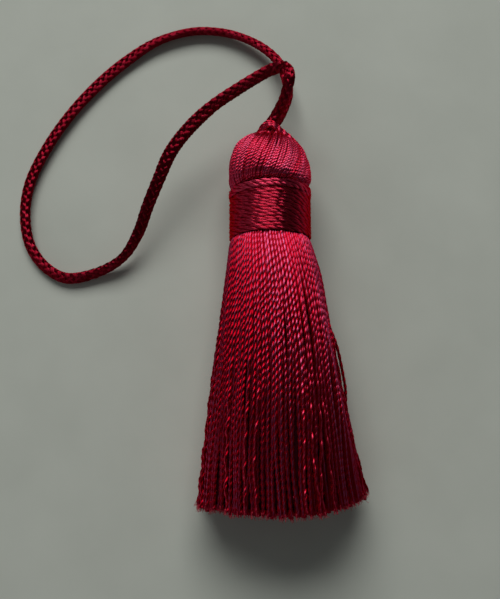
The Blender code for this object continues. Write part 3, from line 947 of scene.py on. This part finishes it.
# %% [markdown]
# ## Fuzz at the cut
#
# Scissors leave each yarn open at its end: the twist lets go and the filaments spread into a little
# brush, matt and a lighter red because light gets in between them. One filament is about a hundredth
# of a millimetre thick and would not show, so each hair here stands for a tuft of them.

# %% Finish of the fuzz
fray_silk, fray_shader = new_material("cut_silk_fuzz")
fray_shade = add_node(fray_silk, "Attribute", attribute_name="shade").outputs["Fac"]
fray_tone = add_ramp(fray_silk, fray_shade, [(0.0, "A8142E"), (1.0, "DC3450")])
fray_silk.node_tree.links.new(fray_tone, fray_shader.inputs["Base Color"])
fray_shader.inputs["Roughness"].default_value = 0.65
fray_shader.inputs["Metallic"].default_value = 0.35
fray_shader.inputs["Sheen Weight"].default_value = 0.3
fray_shader.inputs["Sheen Tint"].default_value = colour("E0405C")
print("finish", fray_silk.name)

# %% Frayed tips
HAIR_STATIONS = 6
HAIR_ROOT = 0.5                 # mm that a hair starts back inside its yarn
HAIR_START, HAIR_SPREAD, HAIR_BOW = 0.13, 0.32, 0.10
HAIR_FLOOR = 0.08               # mm


def add_frays(name, tips, ahead_of_tips, per_tip, reach, radius, rng):
    """Hairs that leave each yarn tip and spread a little. One piece."""
    tips = np.repeat(tips, per_tip, axis=0)
    ahead_of_tips = np.repeat(ahead_of_tips, per_tip, axis=0)
    count = len(tips)
    spread = rng.normal(0.0, 1.0, (count, 3))
    spread -= ahead_of_tips * (spread * ahead_of_tips).sum(axis=1, keepdims=True)
    length = rng.uniform(0.4, 1.0, (count, 1)) * reach
    v = np.linspace(0.0, 1.0, HAIR_STATIONS)[None, :, None]
    start = tips + spread * HAIR_START - ahead_of_tips * HAIR_ROOT
    line = start[:, None] + ahead_of_tips[:, None] * (v * (length[:, None] + HAIR_ROOT))
    line = line + spread[:, None] * (HAIR_SPREAD * v ** 2) * length[:, None]
    line = line + rng.normal(0.0, HAIR_BOW, (count, 1, 3)) * np.sin(v * math.pi)
    line[..., 2] = np.maximum(line[..., 2], HAIR_FLOOR)
    size = np.full((count, HAIR_STATIONS), radius) * np.linspace(1.0, 0.55, HAIR_STATIONS)[None]
    out = np.zeros_like(line)
    out[..., 2] = 1.0
    hair = yarn_master(name + "_master", sides=3, turns=1, steps=5, twisted=False)
    mesh = array_mesh(name, hair, count, (0, 0, 0), False)
    unturned = np.zeros((count, 1))
    lay_along(mesh, line, out, size, unturned, unturned)
    return add_piece(name, mesh, fray_silk)


fray_rng = np.random.default_rng(41)
outer_tips = outer_paths[0][:, -1]
outer_ahead = unit(outer_tips - outer_paths[0][:, -6])
add_frays("tip_fuzz_outer", outer_tips, outer_ahead, 10, 0.75, 0.05, fray_rng)
stub_ahead = unit(stub_centre[:, -1] - stub_centre[:, 0])
add_frays("tip_fuzz_middle", stub_centre[:, -1], stub_ahead, 1, 0.7, 0.055, fray_rng)

# %% [markdown]
# ## The head
#
# Over the head the same yarns run from the apex down to the binding, like the meridians of a globe.
# A meridian needs less room near the pole: the yarns are thinner there, and every second one
# starts lower down, where it comes up between its neighbours. They lie a little aslant.

# %% Shape of the head
HEAD_RADIUS, HEAD_HALF_LENGTH, HEAD_CENTRE_Y = 7.8, 8.6, 25.3
HEAD_COUNT = 100
HEAD_YARN_RADIUS = 0.28
HEAD_STATIONS = 70
HEAD_END_LEAN = math.radians(108.0)     # from the pole, inside the binding
PINCH_LEAN, PINCH_WIDTH = math.radians(93.0), 0.24
SLANT, SLANT_ANGLE = 0.060, math.radians(50.0)       # radians of turn for a mm down, and where it is most


def shoulder(angle):
    """1 where the head's shoulder is square, on the left, falling to 0 on the right."""
    return (0.5 - 0.5 * np.cos(angle)) ** 1.5


def head_place(lean, angle, lift):
    """A point over the head's surface: lean from the pole, angle about the axis, lift in mm."""
    front = np.maximum(np.sin(angle), 0.0) * np.sqrt(0.5 - 0.5 * np.cos(angle))
    fullness = 0.86 - 0.42 * shoulder(angle) + 0.32 * front
    radius = HEAD_RADIUS * np.sin(lean) ** fullness + lift * np.sin(lean)
    x = AXIS_X + radius * np.cos(angle)
    y = HEAD_CENTRE_Y + (HEAD_HALF_LENGTH + lift) * np.cos(lean)
    z = AXIS_Z + radius * np.sin(angle)
    return np.stack(np.broadcast_arrays(x, y, z), axis=-1)


print("the head ends at y =", round(HEAD_CENTRE_Y + HEAD_HALF_LENGTH, 1), "mm")

# %% Head yarns
def head_paths(angles, start_lean, rng):
    """Centre lines, outward directions and yarn radii of yarns that start at a lean from the pole."""
    v = np.linspace(0.0, 1.0, HEAD_STATIONS)
    centre = np.zeros((len(angles), HEAD_STATIONS, 3))
    out = np.zeros_like(centre)
    size = np.zeros(centre.shape[:2])
    for yarn, angle in enumerate(angles):
        start = start_lean + rng.uniform(-0.03, 0.08)
        lean = start + (HEAD_END_LEAN - start) * v
        down = HEAD_HALF_LENGTH * (1.0 - np.cos(lean))
        room = TURN * HEAD_RADIUS * np.sin(lean) ** 0.8 / HEAD_COUNT
        thick = np.clip(room * 1.15, 0.15, HEAD_YARN_RADIUS)
        emerge = np.clip(v / 0.18, 0.0, 1.0) if start_lean > 0.3 else np.ones(HEAD_STATIONS)
        pinch = (0.75 - 0.2 * shoulder(angle)) * np.clip((lean - PINCH_LEAN) / PINCH_WIDTH, 0, 1) ** 2
        slant = SLANT * (0.5 + 0.5 * math.cos(angle - SLANT_ANGLE))
        turned = angle + slant * (down - 8.0) + 0.014 * np.sin(7 * v + rng.uniform(0, ANY_PHASE))
        lift = 0.10 * np.sin(9 * v + rng.uniform(0, ANY_PHASE)) - thick - 0.5 * (1 - emerge) - pinch
        centre[yarn] = head_place(lean, turned, lift)
        tilt = np.cos(lean) * HEAD_RADIUS / HEAD_HALF_LENGTH
        out[yarn] = np.stack([np.cos(turned), tilt, np.sin(turned)], axis=1)
        size[yarn] = thick * rng.uniform(0.93, 1.07)
    return centre, unit(out), size


head_rng = np.random.default_rng(23)
head_angles = TURN * (np.arange(HEAD_COUNT) + head_rng.uniform(-0.15, 0.15, HEAD_COUNT)) / HEAD_COUNT
for name, angles, start, turns in (("head_long", head_angles[0::2], math.radians(10.0), 10),
                                   ("head_short", head_angles[1::2], math.radians(27.0), 9)):
    centre, out, size = head_paths(angles, start, head_rng)
    centre[..., 2] = np.maximum(centre[..., 2], size)
    master = yarn_master(name + "_master", sides=8, turns=turns, steps=8)
    mesh = array_mesh(name, master, len(angles), (0, 0, 0), False)
    lay_along(mesh, centre, out, size, turning(len(angles), HEAD_STATIONS, 2.5, head_rng, 0.3),
              head_rng.uniform(0.25, 0.38, (len(angles), 1)))
    add_piece(name, mesh, head_silk_painted_lighter)

# %% [markdown]
# ## The gather at the apex
#
# Where the hank is folded over the cord, its yarns are drawn together into a short neck, and a few of
# them lie across the front of the cord's root like a strap, and run on down the right shoulder.
# Each is given by a handful of points with a smooth curve through them.

# %% Gathered yarns
GATHER_COUNT = 17
GATHER = (      # how far the yarn has turned on, radians; its reach sideways and up, and its y, mm
    (0.55, 4.1, 4.1, 32.55), (0.35, 2.9, 2.95, 33.25), (0.15, 2.0, 2.25, 34.0), (0.0, 1.65, 2.05, 34.8),
    (-0.15, 1.25, 1.8, 35.35), (-0.3, 0.8, 1.4, 35.35),
)
GATHER_YARN_RADIUS = 0.36
GATHER_STATIONS = 80


def add_yarns(name, routes, turns, relief):
    """One piece with a yarn along each route, which is a list of points in mm."""
    centre = []
    for route in routes:
        line = smooth_line(np.array(route, dtype=float), 12)
        spacing = np.linalg.norm(np.diff(line, axis=0), axis=1).sum() / (GATHER_STATIONS - 1)
        centre.append(even_line(line, spacing)[0][:GATHER_STATIONS])
    centre = np.array(centre)
    count = len(routes)
    out = unit(centre - np.array([AXIS_X, HEAD_CENTRE_Y + 4.0, AXIS_Z]))
    master = yarn_master(name + "_master", sides=10, turns=turns, steps=9)
    mesh = array_mesh(name, master, count, (0, 0, 0), False)
    lay_along(mesh, centre, out, np.full((count, 1), GATHER_YARN_RADIUS),
              turning(count, GATHER_STATIONS, 1.5, chance), np.full((count, 1), relief))
    return add_piece(name, mesh, head_silk_painted_lighter)


gather_rng = np.random.default_rng(31)
neck_routes = []
for number in range(GATHER_COUNT):
    angle = TURN * (number + gather_rng.uniform(-0.2, 0.2)) / GATHER_COUNT
    neck_routes.append([(AXIS_X + wide * math.cos(angle + lean_on), y,
                         AXIS_Z + tall * math.sin(angle + lean_on)) for lean_on, wide, tall, y in GATHER])
add_yarns("apex_gather", neck_routes, turns=3, relief=0.3)

# %% The strap
STRAP = (       # mm: a point of the first yarn, and how far it moves for each mm that a yarn lies aside
    ((-5.2, 32.6, 9.3), (0.2, -1.0, 0.0)),
    ((-4.3, 33.9, 9.7), (0.3, -0.8, 0.0)),
    ((-3.5, 35.0, 10.1), (0.2, -0.8, 0.1)),
    ((-2.4, 35.45, 10.35), (0.0, -0.85, 0.35)),
    ((-1.3, 35.05, 10.2), (0.0, -0.9, 0.35)),
    ((-0.3, 34.2, 9.9), (0.0, -0.85, 0.45)),
    ((1.0, 33.15, 9.7), (0.0, -0.8, 0.5)),
    ((2.4, 31.75, 9.6), (0.0, -0.7, 0.55)),
    ((3.6, 29.9, 9.7), (0.0, -0.5, 0.5)),
)
STRAP_ASIDE = (0.0, 0.55, 1.05)     # mm, one for each yarn

strap_routes = [[np.array(point) + aside * np.array(move) for point, move in STRAP] for aside in STRAP_ASIDE]
add_yarns("apex_strap", strap_routes, turns=5, relief=0.35)

# %% [markdown]
# ## The binding
#
# One long yarn is wound round the neck, each turn lying against the last, and at the top a few turns
# go back over the first ones. So the binding is a helix down to the lower edge, and a second, short
# one on top of it.

# %% Path of the binding
WRAP_PITCH = 0.58               # mm from one turn to the next
WRAP_RADIUS = 7.36
WRAP_YARN_RADIUS = 0.41
WRAP_FLATNESS = 0.8
STATIONS_A_TURN = 56
WRAP_START = math.radians(250.0)
TUCK_DEPTH, TUCK_TURN = 0.7, 0.6        # mm and radians: the ends dive under their neighbours
BUNDLE_LOW_Y = 21.05            # mm, lower edge of the turns that were wound last, at the right


def wound(start_y, end_y, radius, wander):
    """A helix about the neck from one height to another, with its outward directions."""
    turns = (start_y - end_y) / WRAP_PITCH
    stations = int(turns * STATIONS_A_TURN)
    angle_gone = np.linspace(0.0, TURN * turns, stations)
    angle = angle_gone + WRAP_START
    y = np.linspace(start_y, end_y, stations)
    sloped = ease(y, 22.4, 21.1) * ease(y, 14.5, 19.5)
    to_go = angle_gone[-1] - angle_gone
    tucked = np.clip(1.0 - angle_gone / TUCK_TURN, 0, 1) + np.clip(1.0 - to_go / TUCK_TURN, 0, 1)
    reach = radius(y) - TUCK_DEPTH * tucked
    y = y - 0.2 * (1.0 - np.cos(angle)) * sloped
    y = y + wander * (np.sin(1.37 * angle) + 0.8 * np.sin(3.13 * angle + 1.0) + 0.5 * np.sin(5.7 * angle))
    out = np.stack([np.cos(angle), np.zeros(stations), np.sin(angle)], axis=1)
    centre = np.stack([AXIS_X + reach * np.cos(angle), y, AXIS_Z + reach * np.sin(angle)], axis=1)
    centre[:, 2] = np.maximum(centre[:, 2], WRAP_YARN_RADIUS * WRAP_FLATNESS + 0.01)
    return centre[None], out[None]


def first_reach(y):
    """How far the first turns lie from the middle: less under the last turns and at the lower edge."""
    return WRAP_RADIUS - 0.45 * ease(y, 20.6, 21.2) - 0.08 * ease(y, 13.4, 13.0)


def last_reach(y):
    """The same for the last turns, which swell a little in the middle of their bundle."""
    return WRAP_RADIUS + 0.02 + 0.12 * np.sin(ease(y, 22.6, 20.9) * math.pi)


main_turns = wound(wrap_high[1] - 0.9, wrap_low[1] + 0.32, first_reach, 0.055)
bundle_turns = wound(wrap_high[1] - 0.32, BUNDLE_LOW_Y, last_reach, 0.02)
print("the binding runs from y =", wrap_high[1].round(1), "down to", wrap_low[1].round(1), "mm")

# %% Yarn of the binding
PLY_PITCH = 4.2                 # mm of yarn for one turn of its plies

for name, (centre, out) in (("binding_turns", main_turns), ("binding_over_turns", bundle_turns)):
    length = np.linalg.norm(np.diff(centre[0], axis=0), axis=1).sum()
    mesh = yarn_master(name, sides=12, turns=round(length / PLY_PITCH), steps=10)
    lay_along(mesh, centre, out, np.full((1, 1), WRAP_YARN_RADIUS),
              turning(1, centre.shape[1], 30.0, chance, 5.0), np.full((1, 1), 0.45), flatness=WRAP_FLATNESS)
    piece = add_piece(name, mesh, wrap_silk)
    if name == "binding_turns":
        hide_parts("neck_binding")
    print(name, round(float(length)), "mm of yarn")

# %% [markdown]
# ## The floor
#
# A plain pale matt card, so that the tassel is the only thing to look at.

# %% Floor
FLOOR_CLOUDS_PER_METRE = 60.0       # so the card's faint clouds are about 17 mm across

floor_card = cloudy_finish("matt_card_pale", FLOOR_CLOUDS_PER_METRE, 4.0, "CBD1C7", "D2D8CE")[0]
floor_work = bmesh.new()
bmesh.ops.create_grid(floor_work, x_segments=1, y_segments=1, size=2.0)
floor_mesh = bpy.data.meshes.new("floor")
floor_work.to_mesh(floor_mesh)
floor_work.free()
floor_mesh.materials.append(floor_card)
floor = bpy.data.objects.new("floor", floor_mesh)
bpy.context.scene.collection.objects.link(floor)
print("floor", floor_card.name)
